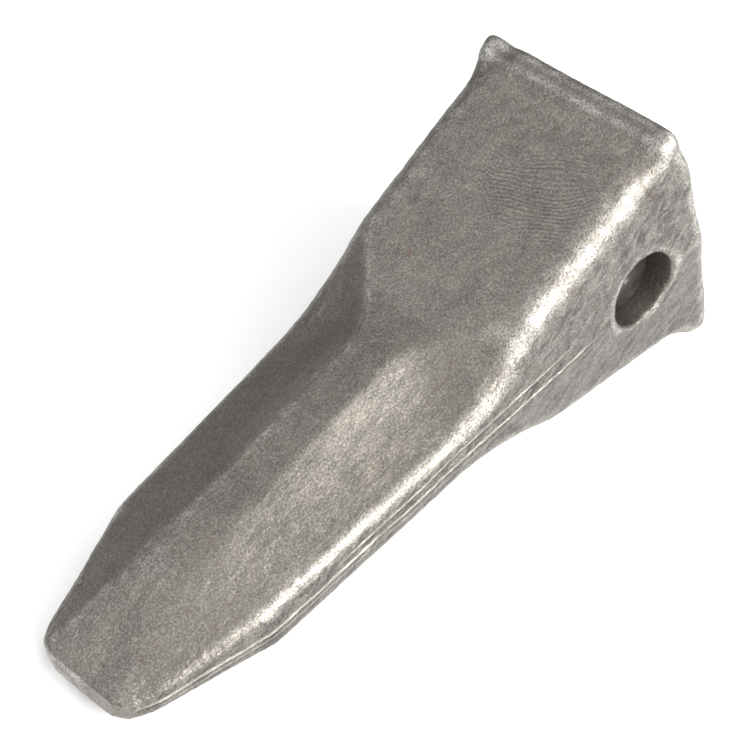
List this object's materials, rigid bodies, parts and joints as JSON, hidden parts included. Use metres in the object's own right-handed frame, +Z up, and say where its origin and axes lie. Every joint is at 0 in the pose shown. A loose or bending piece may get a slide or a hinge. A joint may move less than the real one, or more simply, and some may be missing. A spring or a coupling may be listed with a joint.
{
  "type": "excavator bucket tooth",
  "caption": "Forged rock-chisel bucket tooth with a tapered box socket, scooped flanks and a driven side pin locked by a split ring.",
  "frame": {"origin": "on the ground under the middle of the tooth, which lies on its rear lower lip and the crest of its underside", "axes": "+X towards the tip (its own axis dips 9.14 degrees), +Y to the left along the pin bore, +Z up"},
  "size_m": [0.2752, 0.0982, 0.1084],
  "materials": {
    "forged_steel": "as-forged, light scale",
    "pin_steel": "turned, oil blackened",
    "spring_steel": "tempered spring steel",
    "seat_rubber": "moulded rubber"
  },
  "bodies": {
    "tooth": {"tooth_point": "forged_steel", "ring_cushion": "seat_rubber"},
    "ring": {"lock_ring": "spring_steel"},
    "pin": {"retaining_pin": "pin_steel"}
  },
  "joints": [
    {"name": "pin_turn", "type": "hinge", "parent": "tooth", "child": "ring", "pos_m": [-0.09762, 0, 0.04951], "axis": [0, 1, 0], "continuous": true},
    {"name": "pin_drive_out", "type": "slide", "parent": "ring", "child": "pin", "axis": [0, 1, 0], "range_m": [0, 0.1], "deforming": ["lock_ring"]}
  ]
}
